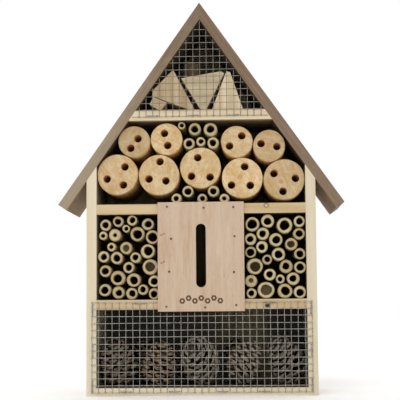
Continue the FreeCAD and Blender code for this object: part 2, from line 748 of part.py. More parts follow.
def cones():
    """Pine cones standing in two rows on the base board, each as an egg shape."""
    largest = min(size("log_pitch"), size("room_depth") / 2) - size("cone_clearance")
    headroom = size("lower_shelf_bottom") - size("base_board")
    for number, (along, back, share) in enumerate(CONES, 1):
        radius = largest * share / 2
        height = min(2 * radius * size("cone_slenderness"), headroom - 2 * size("cone_clearance"))
        margin = radius + size("cone_clearance") / 2
        x = -size("inner_half") + margin + along * 2 * (size("inner_half") - margin)
        y = size("front") + margin + back * (size("room_depth") - 2 * margin)
        egg = doc.addObject("Part::Ellipsoid", "cone_egg")
        egg.Radius1 = height / 2
        egg.Radius2 = radius
        egg.Radius3 = radius
        egg.Angle1 = -90
        egg.Angle2 = 90
        place(egg, FreeCAD.Vector(x, y, size("base_board") + height / 2 - size("cone_foot")))
        under = doc.addObject("Part::Box", "cone_under")
        under.Length = 2 * radius
        under.Width = 2 * radius
        under.Height = size("base_board")
        place(under, FreeCAD.Vector(x - radius, y - radius, 0))
        keep(cut("pine_cone_%d" % number, egg, under), "pine_cone_%d" % number)


def offcuts():
    """Short wood offcuts standing in the attic in two rows."""
    attic = size("ridge_under") - size("attic_shelf_top")
    floor = size("attic_shelf_top")
    length = size("offcut_length")
    for name, rear, shares in OFFCUTS:
        start = size("front") + size("offcut_setback")
        if rear:
            start += length + size("offcut_setback")
        points = [FreeCAD.Vector(x * attic, start, floor + z * attic) for x, z in shares]
        outline = Part.makePolygon(points + points[:1])
        piece = doc.addObject("Part::Feature", "offcut_" + name)
        piece.Shape = Part.Face(outline).extrude(BACK * length)
        keep(piece, "offcut_" + name)


def finish_boards(made):
    """Drills every board that a nail, screw or staple enters."""
    for name, blank in made.items():
        if name in pilots:
            holes = gather(name + "_pilots", pilots[name])
            keep(cut(name, blank, holes), name)
        else:
            keep(blank, name)


def add_levels():
    """Heights that follow from the logs, added to the sheet with the rest."""
    highest = max(z + radius for name, x, z, radius, holes in log_places())
    levels = {
        "floor_level": "0",
        "middle_line": "0",
        "back_face": "=half_depth - back_board",
        "lower_shelf_bottom": "=lower_shelf_top - shelf_board",
        "middle_shelf_bottom": "=middle_shelf_top - shelf_board",
        "logs_top": "%.4f" % highest,
        "attic_shelf_bottom": "=logs_top + shelf_over_logs",
        "attic_shelf_top": "=attic_shelf_bottom + shelf_board",
        "base_board_middle": "=base_board / 2",
        "lower_shelf_middle": "=lower_shelf_top - shelf_board / 2",
        "middle_shelf_middle": "=middle_shelf_top - shelf_board / 2",
        "attic_shelf_middle": "=attic_shelf_bottom + shelf_board / 2",
    }
    first = len(DRIVING) + len(DERIVED) + 1
    for row, (alias, content) in enumerate(levels.items(), first):
        sizes.set("A%d" % row, alias)
        sizes.set("B%d" % row, content)
        sizes.setAlias("B%d" % row, alias)
    doc.recompute()


add_levels()
made = boards()
logs = log_places()
for name, x, z, radius, holes in logs:
    made[name] = log(name, x, z, holes)
plate_nails()
frame_nails()
roof_nails()
rear_nails([(name, x, z) for name, x, z, radius, holes in logs])
made["hanger_plate"] = hanger()
lower_mesh()
attic_mesh()
cane_room("left", -1, LEFT_CANES)
cane_room("right", 1, RIGHT_CANES)
middle_canes(logs)
cones()
offcuts()
finish_boards(made)
doc.recompute()

for item in doc.Objects:
    if "Invalid" in item.State or "Error" in item.State:
        raise RuntimeError("failed: %s %s" % (item.Name, item.State))
for item in parts:
    if item.Shape.isNull() or not item.Shape.isValid():
        raise RuntimeError("bad shape: %s" % item.Label)

os.makedirs("parts", exist_ok=True)
for item in parts:
    item.Shape.exportStep(os.path.join("parts", item.Label + ".step"))
print(len(parts), "sub-parts, ridge at", round(size("ridge_top"), 2))
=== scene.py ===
"""The looks of a gabled insect hotel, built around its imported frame. Metres, front to -Y."""
import json
import math
import random

import bmesh
import bpy
from mathutils import Matrix, Vector


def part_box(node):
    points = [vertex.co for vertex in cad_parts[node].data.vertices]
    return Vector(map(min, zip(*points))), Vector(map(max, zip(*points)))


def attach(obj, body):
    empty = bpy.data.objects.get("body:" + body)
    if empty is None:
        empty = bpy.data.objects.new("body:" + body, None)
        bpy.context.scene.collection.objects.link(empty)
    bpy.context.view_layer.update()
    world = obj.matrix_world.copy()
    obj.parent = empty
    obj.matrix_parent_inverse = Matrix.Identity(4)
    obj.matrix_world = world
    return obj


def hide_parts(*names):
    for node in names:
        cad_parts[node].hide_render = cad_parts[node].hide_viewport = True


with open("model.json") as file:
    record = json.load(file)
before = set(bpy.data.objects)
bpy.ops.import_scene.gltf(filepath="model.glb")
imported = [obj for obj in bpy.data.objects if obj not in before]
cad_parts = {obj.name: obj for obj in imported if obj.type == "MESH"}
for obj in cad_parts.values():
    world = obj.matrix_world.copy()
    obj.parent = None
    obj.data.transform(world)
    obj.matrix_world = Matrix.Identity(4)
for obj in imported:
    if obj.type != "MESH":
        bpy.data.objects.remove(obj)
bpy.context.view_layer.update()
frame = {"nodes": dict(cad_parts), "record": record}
MM = 0.001
GOLDEN_ANGLE = math.pi * (3 - math.sqrt(5))
INSIDE_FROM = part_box("base_board")[0].y + 0.3 * MM
INSIDE_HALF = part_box("left_wall")[1].x * -1
# How far behind the front edge the boards reach their full painted shade.
INSIDE_SHADE_FADE = 9 * MM
OPENINGS = {item["name"]: item["box_m"] for item in frame["record"]["physics"]["openings"]}


# ------------------------------------------------------------ shader building

class Shader:
    """Builds one material's node tree; a value may be a number, a colour or a socket."""

    def __init__(self, name, roughness=0.6, metallic=0.0):
        self.material = bpy.data.materials.new(name)
        self.material.use_nodes = True
        self.tree = self.material.node_tree
        self.surface = self.tree.nodes["Principled BSDF"]
        self.surface.inputs["Roughness"].default_value = roughness
        self.surface.inputs["Metallic"].default_value = metallic
        self.coords = self.add("TexCoord").outputs["Object"]

    def add(self, kind, inputs=None, **settings):
        node = self.tree.nodes.new("ShaderNode" + kind)
        for key, value in settings.items():
            setattr(node, key, value)
        for key, value in (inputs or {}).items():
            self.feed(node, key, value)
        return node

    def feed(self, node, key, value):
        if isinstance(value, bpy.types.NodeSocket):
            self.tree.links.new(value, node.inputs[key])
        else:
            node.inputs[key].default_value = value

    def stretched(self, scale, offset=(0, 0, 0), source=None):
        """Coordinates times a scale per axis, so that a pattern can run along the grain."""
        mapping = self.add("Mapping", {"Vector": source or self.coords,
                                       "Scale": scale, "Location": offset})
        return mapping.outputs["Vector"]

    def noise(self, vector, scale=1.0, detail=3.0, roughness=0.55, distortion=0.0):
        node = self.add("TexNoise", {"Vector": vector, "Scale": scale, "Detail": detail,
                                     "Roughness": roughness, "Distortion": distortion})
        return node.outputs["Fac"]

    def maths(self, operation, first, second=0.0, clamp=False):
        node = self.add("Math", {0: first, 1: second}, operation=operation, use_clamp=clamp)
        return node.outputs[0]

    def weigh(self, *terms):
        """The sum of sockets, each times its weight."""
        weighed = [self.maths("MULTIPLY", socket, weight) for socket, weight in terms]
        total = weighed[0]
        for term in weighed[1:]:
            total = self.maths("ADD", total, term)
        return total

    def window(self, value, low, high, out_low=0.0, out_high=1.0):
        """Maps low..high to out_low..out_high and holds it there."""
        node = self.add("MapRange", {"Value": value, "From Min": low, "From Max": high,
                                     "To Min": out_low, "To Max": out_high}, clamp=True)
        return node.outputs["Result"]

    def mix(self, factor, first, second, blend="MIX"):
        node = self.add("Mix", data_type="RGBA", blend_type=blend, clamp_factor=True)
        self.feed(node, 0, factor)
        for index, value in ((6, first), (7, second)):
            plain = not isinstance(value, bpy.types.NodeSocket)
            self.feed(node, index, rgba(value) if plain else value)
        return node.outputs[2]

    def split(self, vector):
        """A vector's or a colour's sockets, by axis."""
        return self.add("SeparateXYZ", {"Vector": vector}).outputs

    def tint(self):
        """The object's colour, which carries what differs from piece to piece."""
        return self.split(self.add("ObjectInfo").outputs["Color"])

    def knot(self, colour, fibres, x, z, wide, high, core, rim):
        """An oval knot or gouge on the front edge: its middle and half sizes in metres,
        its core's and its rim's colour. A core the same as the rim reads as a hole."""
        offset = self.add("VectorMath", {0: self.coords, 1: (x, 0.0, z)}, operation="SUBTRACT")
        scale = (1 / wide, 0, 1 / high)
        flat = self.add("VectorMath", {0: offset.outputs[0], 1: scale}, operation="MULTIPLY")
        away = self.add("VectorMath", {0: flat.outputs[0]}, operation="LENGTH").outputs["Value"]
        away = self.maths("ADD", away, self.window(fibres, 0.3, 0.7, -0.12, 0.12))
        colour = self.mix(self.window(away, 0.85, 1.2, 0.85, 0.0), colour, rim)
        return self.mix(self.window(away, 0.55, 0.8, 0.9, 0.0), colour, core)

    def paint_inside_shade(self, colour, amount):
        """Painted shade: darkens a board behind its front edge, between the walls, where the rooms
        lie in shade.
        """
        split = self.split(self.coords)
        deep = self.window(split["Y"], INSIDE_FROM, INSIDE_FROM + INSIDE_SHADE_FADE, 0.0, amount)
        between = self.window(self.maths("ABSOLUTE", split["X"]),
                              INSIDE_HALF - 0.2 * MM, INSIDE_HALF + 0.4 * MM, 1.0, 0.0)
        return self.mix(self.maths("MULTIPLY", deep, between), colour, INSIDE_SHADE)

    def finish(self, colour, rough=None, height=None, depth=0.0002, strength=0.5):
        """Wires the colour, a roughness map and a bump from a height map in metres."""
        self.feed(self.surface, "Base Color", colour)
        if rough is not None:
            self.feed(self.surface, "Roughness", rough)
        if height is not None:
            bump = self.add("Bump", {"Height": height, "Distance": depth, "Strength": strength})
            self.feed(self.surface, "Normal", bump.outputs["Normal"])
        return self.material


def rgba(colour):
    return (colour[0], colour[1], colour[2], 1.0)


def srgb(red, green, blue):
    """A screen colour of 0 to 255 as linear light."""
    return tuple((v / 255 / 12.92) if v <= 10 else ((v / 255 + 0.055) / 1.055) ** 2.4
                 for v in (red, green, blue))


AXES = {"X": 0, "Y": 1, "Z": 2}


def along(axis, across, lengthwise):
    """A scale that is lengthwise along one axis and across on the other two."""
    scale = [across, across, across]
    scale[AXES[axis]] = lengthwise
    return tuple(scale)


# ------------------------------------------------------------------ materials

BOARD_ROUGHNESS = 0.62


def sawn_wood(name, axis, light, dark, seed, rings=260.0, contrast=0.5, fibre=0.35,
              streaks=None, knots=(), outer=None, inside=0.0):
    """Board wood: growth bands and fine fibres along one axis, with knots where asked.
    Knots are the arguments of Shader.knot; outer is the light and dark of every face that
    does not look forward; inside is how strongly painted shade darkens the rooms."""
    s = Shader(name, BOARD_ROUGHNESS)
    shift = (seed * 0.37, seed * 0.61, seed * 0.83)
    bend = s.noise(s.stretched(along(axis, 22, 4), shift), detail=2.0)
    bands = s.add("TexWave", {"Vector": s.stretched(along(axis, rings / 10, rings / 190), shift),
                              "Scale": 1.6, "Distortion": 5.0, "Detail": 3.0,
                              "Detail Scale": 1.4, "Detail Roughness": 0.6},
                  wave_type="BANDS", bands_direction="DIAGONAL", wave_profile="SIN").outputs["Fac"]
    fibres = s.noise(s.stretched(along(axis, 1700, 60), shift), detail=4.0, roughness=0.7)
    pores = s.noise(s.stretched(along(axis, 4200, 170), shift), detail=1.0)
    tone = s.weigh((bands, contrast), (fibres, fibre), (bend, 0.35))
    share = s.window(tone, 0.25, 1.05)
    colour = s.mix(share, light, dark)
    if streaks is not None:
        patch = s.noise(s.stretched(along(axis, 90, 9), shift), detail=3.0)
        colour = s.mix(s.window(patch, 0.48, 0.72, 0.0, 0.6), colour, streaks)
    fine = s.window(pores, 0.62, 0.75, 0.0, 0.25)
    colour = s.mix(fine, colour, tuple(v * 0.6 for v in dark))
    for knot in knots:
        colour = s.knot(colour, fibres, *knot)
    if outer:
        facing = s.split(s.add("NewGeometry").outputs["Normal"])["Y"]
        colour = s.mix(s.window(facing, -0.6, -0.4), colour, s.mix(share, *outer))
    # Painted shade on the boards inside the rooms.
    if inside:
        colour = s.paint_inside_shade(colour, inside)
    height = s.weigh((fibres, 0.6), (bands, 0.4))
    rough = s.window(fibres, 0.3, 0.7, BOARD_ROUGHNESS - 0.1, BOARD_ROUGHNESS + 0.16)
    return s.finish(colour, rough, height, depth=0.25 * MM, strength=0.55)


# Small dark marks near the plate's left edge, across and up in millimetres.
SCUFFS = ((-39.8, 160.9), (-37.4, 162.1), (-39.8, 132.7), (-37.4, 133.9))


def plate_wood():
    """Thin rotary-cut plywood: upright grain, pink-tan, with short dark pores."""
    s = Shader("plate_plywood", 0.6)
    drift = s.noise(s.stretched((60, 60, 7)), detail=3.0, distortion=0.6)
    flame = s.add("TexWave", {"Vector": s.stretched((34, 34, 2.2)), "Scale": 1.0, "Distortion": 7.0,
                              "Detail": 3.0, "Detail Scale": 1.0},
                  wave_type="BANDS", bands_direction="X").outputs["Fac"]
    fibres = s.noise(s.stretched((1600, 1600, 46)), detail=4.0, roughness=0.65)
    pores = s.noise(s.stretched((2600, 2600, 190)), detail=2.0)
    blush = s.noise(s.stretched((95, 95, 16)), detail=4.0, roughness=0.65)
    tone = s.weigh((flame, 0.15), (drift, 0.7))
    colour = s.mix(s.window(tone, 0.2, 0.75), PLATE_LIGHT, PLATE_DARK)
    colour = s.mix(s.window(blush, 0.5, 0.7, 0.0, 0.6), colour, PLATE_BLUSH)
    colour = s.mix(s.window(fibres, 0.45, 0.75, 0.0, 0.4), colour, PLATE_DEEP)
    colour = s.mix(s.window(pores, 0.64, 0.74, 0.0, 0.5), colour, PLATE_PORE)
    for x, z in SCUFFS:
        colour = s.knot(colour, fibres, x * MM, z * MM, 1.3 * MM, 0.8 * MM, SCUFF, SCUFF_RIM)
    height = s.maths("SUBTRACT", fibres, s.window(pores, 0.6, 0.75, 0.0, 0.6))
    return s.finish(colour, s.window(fibres, 0.3, 0.7, 0.5, 0.72), height, 0.0002, 0.45)


LOG_RING_STEP = 2.1 * MM


def log_end_wood():
    """Sawn end grain: rings round the pith, pale saw streaks, smudges and resin specks.
    The object's colour holds the pith's offset, how dark the log is, as painted shade
    and its own tone, and, in alpha, the pith's strength."""
    s = Shader("log_end_grain", 0.68)
    info = s.add("ObjectInfo")
    tint = s.split(info.outputs["Color"])
    tone = tint["Z"]
    seed = s.add("CombineXYZ", {"X": tone, "Z": tone}).outputs[0]
    shift = s.add("VectorMath", {0: s.coords, 1: seed}, operation="ADD").outputs[0]
    turned = s.add("VectorRotate", {"Vector": shift, "Angle": s.maths("MULTIPLY", tone, 9.0)},
                   rotation_type="Y_AXIS").outputs["Vector"]
    streaks = s.noise(s.stretched((420, 420, 70), (0, 0, 0), turned), detail=4.0, roughness=0.65)
    smudge = s.noise(shift, scale=170.0, detail=3.0)
    split = s.split(s.coords)
    px = s.maths("SUBTRACT", split["X"],
                 s.maths("MULTIPLY", s.maths("SUBTRACT", tint["X"], 0.5), PITH_SPAN))
    pz = s.maths("SUBTRACT", split["Z"],
                 s.maths("MULTIPLY", s.maths("SUBTRACT", tint["Y"], 0.5), PITH_SPAN))
    flat = s.add("CombineXYZ", {"X": px, "Z": pz}).outputs[0]
    radius = s.add("VectorMath", {0: flat}, operation="LENGTH").outputs["Value"]
    warp = s.noise(shift, scale=90.0, detail=3.0)
    warped = s.maths("ADD", radius, s.maths("MULTIPLY", warp, 6 * MM))
    wave = s.maths("SINE", s.maths("MULTIPLY", warped, 2 * math.pi / LOG_RING_STEP))
    rings = s.window(wave, -0.4, 1.0)
    broken = s.window(s.noise(shift, scale=300.0, detail=3.0), 0.42, 0.6)
    specks = s.noise(shift, scale=1500.0, detail=3.0, roughness=0.7)
    flecks = s.noise(shift, scale=560.0, detail=4.0, roughness=0.75)
    blotch = s.noise(shift, scale=75.0, detail=4.0, roughness=0.6)
    saw = s.noise(s.stretched((2600, 2600, 160)), detail=2.0)
    colour = s.mix(s.window(blotch, 0.34, 0.66), LOG_LIGHT, LOG_WARM)
    colour = s.mix(s.maths("MULTIPLY", rings, s.maths("MULTIPLY", broken, 0.6)), colour, LOG_RING)
    colour = s.mix(s.window(smudge, 0.58, 0.72, 0.0, 0.5), colour, LOG_RING)
    colour = s.mix(s.window(streaks, 0.52, 0.68, 0.0, 0.6), colour, LOG_PALE)
    colour = s.mix(s.window(streaks, 0.46, 0.34, 0.0, 0.35), colour, LOG_RING)
    colour = s.mix(s.window(flecks, 0.58, 0.7, 0.0, 0.4), colour, LOG_SPECK)
    colour = s.mix(s.window(specks, 0.6, 0.72, 0.0, 0.35), colour, LOG_SPECK)
    # Painted shade and the log's own tone: each log darkened by its own amount.
    colour = s.mix(s.maths("MULTIPLY", tone, 0.5), colour, LOG_PAINTED_SHADE)
    uneven = s.maths("ADD", radius, s.maths("MULTIPLY", warp, 2 * MM))
    pith = s.window(uneven, 2.2 * MM, 4.5 * MM, 0.8, 0.0)
    colour = s.mix(s.maths("MULTIPLY", pith, info.outputs["Alpha"]), colour, LOG_PITH)
    height = s.weigh((flecks, 0.8), (saw, 0.5), (rings, 0.25))
    return s.finish(colour, s.window(specks, 0.3, 0.7, 0.6, 0.82), height, 0.0005, 0.7)


def log_side_wood():
    """Peeled round wood with lengthwise streaks and a few bark flecks."""
    s = Shader("log_peeled_side", 0.55)
    grain = s.noise(s.stretched((700, 26, 700)), detail=4.0, roughness=0.6)
    patch = s.noise(s.stretched((110, 22, 110)), detail=3.0)
    colour = s.mix(s.window(grain, 0.3, 0.7), srgb(216, 180, 122), srgb(170, 126, 74))
    colour = s.mix(s.window(patch, 0.6, 0.75, 0.0, 0.7), colour, srgb(84, 54, 30))
    return s.finish(colour, s.window(grain, 0.3, 0.7, 0.45, 0.68), grain, 0.0003, 0.6)


def drilled_wood():
    """The scorched, fuzzy wall of a drilled hole."""
    s = Shader("drilled_hole", 0.8)
    fuzz = s.noise(s.stretched((1400, 500, 1400)), detail=4.0, roughness=0.7)
    deep = s.split(s.coords)["Y"]
    colour = s.mix(s.window(fuzz, 0.3, 0.7), srgb(232, 190, 136), srgb(182, 128, 80))
    colour = s.mix(s.window(deep, -0.04, -0.016, 0.0, 0.7), colour, srgb(190, 132, 72))
    return s.finish(colour, None, fuzz, 0.0004, 0.7)


def cane_end():
    """Cut cane: pale pith inside, darker dense rim, dotted with fibre bundles."""
    s = Shader("cane_cut_end", 0.66)
    tint = s.tint()
    rim = s.add("Attribute", attribute_name="rim").outputs["Fac"]
    dots = s.add("TexVoronoi", {"Vector": s.coords, "Scale": 1500.0}).outputs["Distance"]
    patch = s.noise(s.coords, scale=260.0, detail=4.0)
    base = s.mix(tint["X"], CANE_PALE, CANE_GREEN)
    base = s.mix(s.maths("MULTIPLY", tint["Y"], 0.45), base, CANE_BROWN)
    colour = s.mix(s.window(patch, 0.35, 0.7, 0.0, 0.4), base, CANE_BROWN)
    dotting = s.maths("MULTIPLY", s.window(dots, 0.42, 0.2), s.window(rim, 0.1, 1.0, 0.1, 0.5))
    colour = s.mix(dotting, colour, CANE_FIBRE)
    colour = s.mix(s.window(rim, 0.72, 1.0, 0.0, 0.75), colour, CANE_SKIN)
    colour = s.mix(s.window(rim, 0.34, 0.0, 0.0, 0.7), colour, CANE_BROWN)
    return s.finish(colour, s.window(patch, 0.3, 0.7, 0.55, 0.78), dots, 0.00015, 0.5)


def cane_skin():
    """The cane's outside: smooth, faintly ribbed along its length, with mould specks."""
    s = Shader("cane_skin", 0.38)
    tint = s.tint()
    ribs = s.noise(s.stretched((900, 18, 900)), detail=3.0)
    spots = s.noise(s.coords, scale=420.0, detail=5.0, roughness=0.7)
    base = s.mix(tint["X"], srgb(190, 168, 112), srgb(152, 148, 92))
    colour = s.mix(s.window(ribs, 0.3, 0.7, 0.0, 0.5), base, srgb(128, 106, 62))
    colour = s.mix(s.window(spots, 0.62, 0.7, 0.0, 0.6), colour, srgb(70, 58, 38))
    return s.finish(colour, s.window(spots, 0.4, 0.7, 0.3, 0.6), ribs, 0.0002, 0.4)


def cane_bore():
    """The cane's inside, papery, and darker deeper in."""
    s = Shader("cane_bore", 0.75)
    deep = s.add("Attribute", attribute_name="rim").outputs["Fac"]
    fuzz = s.noise(s.stretched((1200, 90, 1200)), detail=4.0)
    colour = s.mix(s.window(fuzz, 0.3, 0.7), srgb(176, 146, 94), srgb(124, 96, 56))
    colour = s.mix(s.window(deep, 0.0, 0.25, 0.0, 0.9), colour, srgb(104, 82, 48))
    return s.finish(colour, None, fuzz, 0.0002, 0.5)


def cane_plug():
    """What stops a cane behind its mouth."""
    s = Shader("cane_plug", 0.9)
    tint = s.tint()
    lumps = s.noise(s.coords, scale=900.0, detail=5.0, roughness=0.7)
    base = s.mix(tint["X"], srgb(108, 88, 52), srgb(92, 88, 58))
    colour = s.mix(s.window(lumps, 0.35, 0.65), base, srgb(54, 45, 26))
    return s.finish(colour, None, lumps, 0.0006, 0.8)


def cone_scale():
    """Pine cone scales: dark chestnut at the root, grey-tan and weathered at the tip."""
    s = Shader("cone_scale", 0.7)
    tip = s.add("Attribute", attribute_name="tip").outputs["Fac"]
    tint = s.tint()
    grain = s.noise(s.coords, scale=700.0, detail=4.0, roughness=0.7)
    ridges = s.noise(s.coords, scale=230.0, detail=3.0)
    shade = s.maths("MULTIPLY", tint["Y"], 0.7)
    body = s.mix(grain, CONE_DARK, CONE_BODY)
    pale = s.mix(tint["X"], CONE_TAN, CONE_GREY)
    edge = s.maths("ADD", tip, s.window(ridges, 0.35, 0.65, -0.22, 0.22))
    colour = s.mix(s.window(edge, 0.55, 0.95), body, pale)
    colour = s.mix(s.window(grain, 0.62, 0.75, 0.0, 0.6), colour, CONE_DARK)
    colour = s.mix(shade, colour, CONE_DARK)
    return s.finish(colour, s.window(grain, 0.3, 0.7, 0.55, 0.85), grain, 0.0004, 0.7)


def steel(name, light, dark, roughness, spots=0.0, spot_colour=(0.1, 0.06, 0.04)):
    """Dull plated steel with cloudy patches, fine scratches and optional rust."""
    s = Shader(name, roughness, metallic=1.0)
    cloud = s.noise(s.coords, scale=340.0, detail=4.0, roughness=0.65)
    grit = s.noise(s.coords, scale=3000.0, detail=2.0)
    colour = s.mix(s.window(cloud, 0.35, 0.65), light, dark)
    if spots:
        colour = s.mix(s.window(cloud, 0.55 - spots * 0.2, 0.66, 0.0, spots), colour, spot_colour)
    rough = s.window(cloud, 0.3, 0.7, roughness - 0.12, roughness + 0.14)
    return s.finish(colour, rough, grit, 0.00006, 0.3)


def burnt_wood():
    s = Shader("burnt_mark", 0.85)
    char = s.noise(s.coords, scale=1400.0, detail=3.0)
    colour = s.mix(s.window(char, 0.3, 0.7), srgb(58, 34, 18), srgb(104, 70, 44))
    return s.finish(colour, None, char, 0.0001, 0.5)


def floor_paper():
    s = Shader("floor_paper", 0.9)
    tooth = s.noise(s.coords, scale=60.0, detail=3.0)
    colour = s.mix(tooth, (0.94, 0.94, 0.94), (0.97, 0.97, 0.97))
    return s.finish(colour, None, tooth, 0.0002, 0.1)


# Painted shade for the insides of the rooms and the inside of the roof.
INSIDE_SHADE = srgb(58, 45, 29)
KNOT_HEART = srgb(202, 170, 124)
KNOT_RIM = srgb(96, 66, 38)
GOUGE_PAINTED_SHADE = srgb(30, 22, 16)
PLATE_LIGHT = srgb(200, 178, 154)
PLATE_DARK = srgb(186, 160, 134)
PLATE_DEEP = srgb(166, 134, 108)
PLATE_BLUSH = srgb(180, 146, 116)
SCUFF = srgb(112, 78, 58)
SCUFF_RIM = srgb(160, 126, 100)
PLATE_PORE = srgb(130, 96, 72)
LOG_LIGHT = srgb(220, 198, 156)
LOG_WARM = srgb(200, 166, 112)
LOG_RING = srgb(188, 142, 88)
LOG_SPECK = srgb(150, 100, 56)
LOG_PALE = srgb(230, 214, 182)
LOG_PITH = srgb(178, 124, 76)
LOG_PAINTED_SHADE = srgb(140, 112, 72)
CANE_PALE = srgb(207, 191, 153)
CANE_GREEN = srgb(184, 173, 133)
CANE_BROWN = srgb(146, 120, 78)
CANE_FIBRE = srgb(112, 92, 60)
CANE_SKIN = srgb(128, 106, 64)
CONE_DARK = srgb(30, 22, 17)
CONE_BODY = srgb(76, 58, 45)
CONE_TAN = srgb(150, 122, 96)
CONE_GREY = srgb(138, 130, 116)
PINE_LIGHT = srgb(219, 206, 180)
PINE_DARK = srgb(204, 186, 151)
DULL_PINE_LIGHT = srgb(209, 198, 174)
SHELF_LIGHT = srgb(218, 201, 168)
SHELF_DARK = srgb(202, 179, 139)
WARM_LIGHT = srgb(204, 182, 143)
WARM_DARK = srgb(182, 152, 106)
ROOF_LIGHT = srgb(146, 124, 101)
ROOF_DARK = srgb(108, 88, 68)
ROOF_PALE = srgb(196, 178, 152)
ROOF_DEEP = srgb(96, 72, 44)
ROOF_GREY = srgb(132, 118, 94)
# The back panel's room side, darkened as painted shade; its other faces take the warm shelf wood.
BACK_SHADED_PALE = srgb(132, 118, 80)
BACK_SHADED_DEEP = srgb(96, 83, 53)
BACK_STREAK = srgb(30, 25, 15)
BACK_SHADE = srgb(50, 40, 21)
OFFCUT_LIGHT = srgb(234, 218, 186)
OFFCUT_DARK = srgb(208, 186, 146)
TAN_OFFCUT_LIGHT = srgb(210, 190, 154)
TAN_OFFCUT_DARK = srgb(178, 152, 112)
OFFCUT_STREAK = srgb(168, 138, 98)
# The rear offcuts' brown wood, darkened as painted shade at the back of the attic.
REAR_OFFCUT_SHADED_PALE = srgb(112, 92, 64)
REAR_OFFCUT_SHADED_DEEP = srgb(78, 60, 40)
GREY_OFFCUT_LIGHT = srgb(210, 193, 160)
GREY_OFFCUT_DARK = srgb(182, 163, 128)


# ------------------------------------------------------------- mesh building

def make_piece(name, mesh, materials, location=(0, 0, 0), smooth=True):
    """Wraps a bmesh as an object that rides on the house."""
    data = bpy.data.meshes.new(name)
    bmesh.ops.recalc_face_normals(mesh, faces=mesh.faces)
    mesh.to_mesh(data)
    mesh.free()
    for material in materials:
        data.materials.append(material)
    piece = bpy.data.objects.new(name, data)
    piece.location = location
    bpy.context.scene.collection.objects.link(piece)
    for polygon in data.polygons:
        polygon.use_smooth = smooth
    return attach(piece, "root")


def stand_for(piece, node):
    """Shows the piece in place of a CAD node, by hiding that node."""
    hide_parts(node)
    return piece


def turns(count):
    """Angles evenly round a circle."""
    return [2 * math.pi * step / count for step in range(count)]


def ring(mesh, points):
    return [mesh.verts.new(point) for point in points]


def bridge(mesh, first, second, material=0):
    """Quads between two rings with the same number of points."""
    count = len(first)
    for index in range(count):
        after = (index + 1) % count
        face = mesh.faces.new((first[index], first[after], second[after], second[index]))
        face.material_index = material


def cap(mesh, verts, centre, material=0):
    """A fan that closes a ring on its middle point."""
    middle = mesh.verts.new(centre)
    count = len(verts)
    for index in range(count):
        face = mesh.faces.new((verts[index], verts[(index + 1) % count], middle))
        face.material_index = material


def tube(mesh, path, radius, sides=8):
    """A round rod along a path, with closed ends."""
    rings = []
    for index, point in enumerate(path):
        before = path[max(index - 1, 0)]
        after = path[min(index + 1, len(path) - 1)]
        heading = (after - before).normalized()
        side = heading.cross(Vector((0.31, 0.92, 0.24))).normalized()
        other = heading.cross(side)
        circle = []
        for angle in turns(sides):
            circle.append(point + (side * math.cos(angle) + other * math.sin(angle)) * radius)
        rings.append(ring(mesh, circle))
    for first, second in zip(rings, rings[1:]):
        bridge(mesh, first, second)
    cap(mesh, rings[0], path[0])
    cap(mesh, rings[-1], path[-1])


def islands(node):
    """The separate solids of a CAD node, each as a list of its points."""
    mesh = bmesh.new()
    mesh.from_mesh(frame["nodes"][node].data)
    bmesh.ops.remove_doubles(mesh, verts=mesh.verts, dist=1e-6)
    found = []
    seen = set()
    for start in mesh.verts:
        if start.index in seen:
            continue
        queue = [start]
        seen.add(start.index)
        points = []
        while queue:
            vert = queue.pop()
            points.append(vert.co.copy())
            for edge in vert.link_edges:
                other = edge.other_vert(vert)
                if other.index not in seen:
                    seen.add(other.index)
                    queue.append(other)
        found.append(points)
    mesh.free()
    return found


def corners(points):
    low = Vector([min(point[axis] for point in points) for axis in range(3)])
    high = Vector([max(point[axis] for point in points) for axis in range(3)])
    return low, high


# ------------------------------------------------------------------ the canes

CANE_SIDES = 44
# Round a node: how far behind it in millimetres, and the cane's width there as a share.
CANE_RIDGE = ((4, 0.97), (1, 1.0), (0, 0.985), (-1, 1.0), (-4, 0.97))
CANE_MATERIALS = (cane_end(), cane_skin(), cane_bore(), cane_plug())
# Canes whose pith stops them close behind the mouth: place across and up in
# millimetres, and how far back the stop lies.
STOPPED_CANES = ((-76, 148.4, 2.0), (-51.5, 129, 5.0), (54, 128.8, 8.0), (65, 104.8, 3.0),
                 (50, 113.9, 1.2), (91, 150.8, 5.0))


def wobble(dice, lobes):
    """A closed outline's relative radius as a function of angle, never above 1."""
    terms = [(order, dice.uniform(0.3, 1.0) * size, dice.uniform(0, 2 * math.pi))
             for order, size in lobes]
    total = sum(size for order, size, phase in terms)
    return lambda angle: 1 - total + sum(size * math.cos(order * angle + phase)
                                         for order, size, phase in terms)


def stop_depth(centre):
    """How far behind its mouth a cane is stopped, or none."""
    for x, z, depth in STOPPED_CANES:
        if math.hypot(centre.x - x * MM, centre.z - z * MM) < 4 * MM:
            return depth * MM
    return None


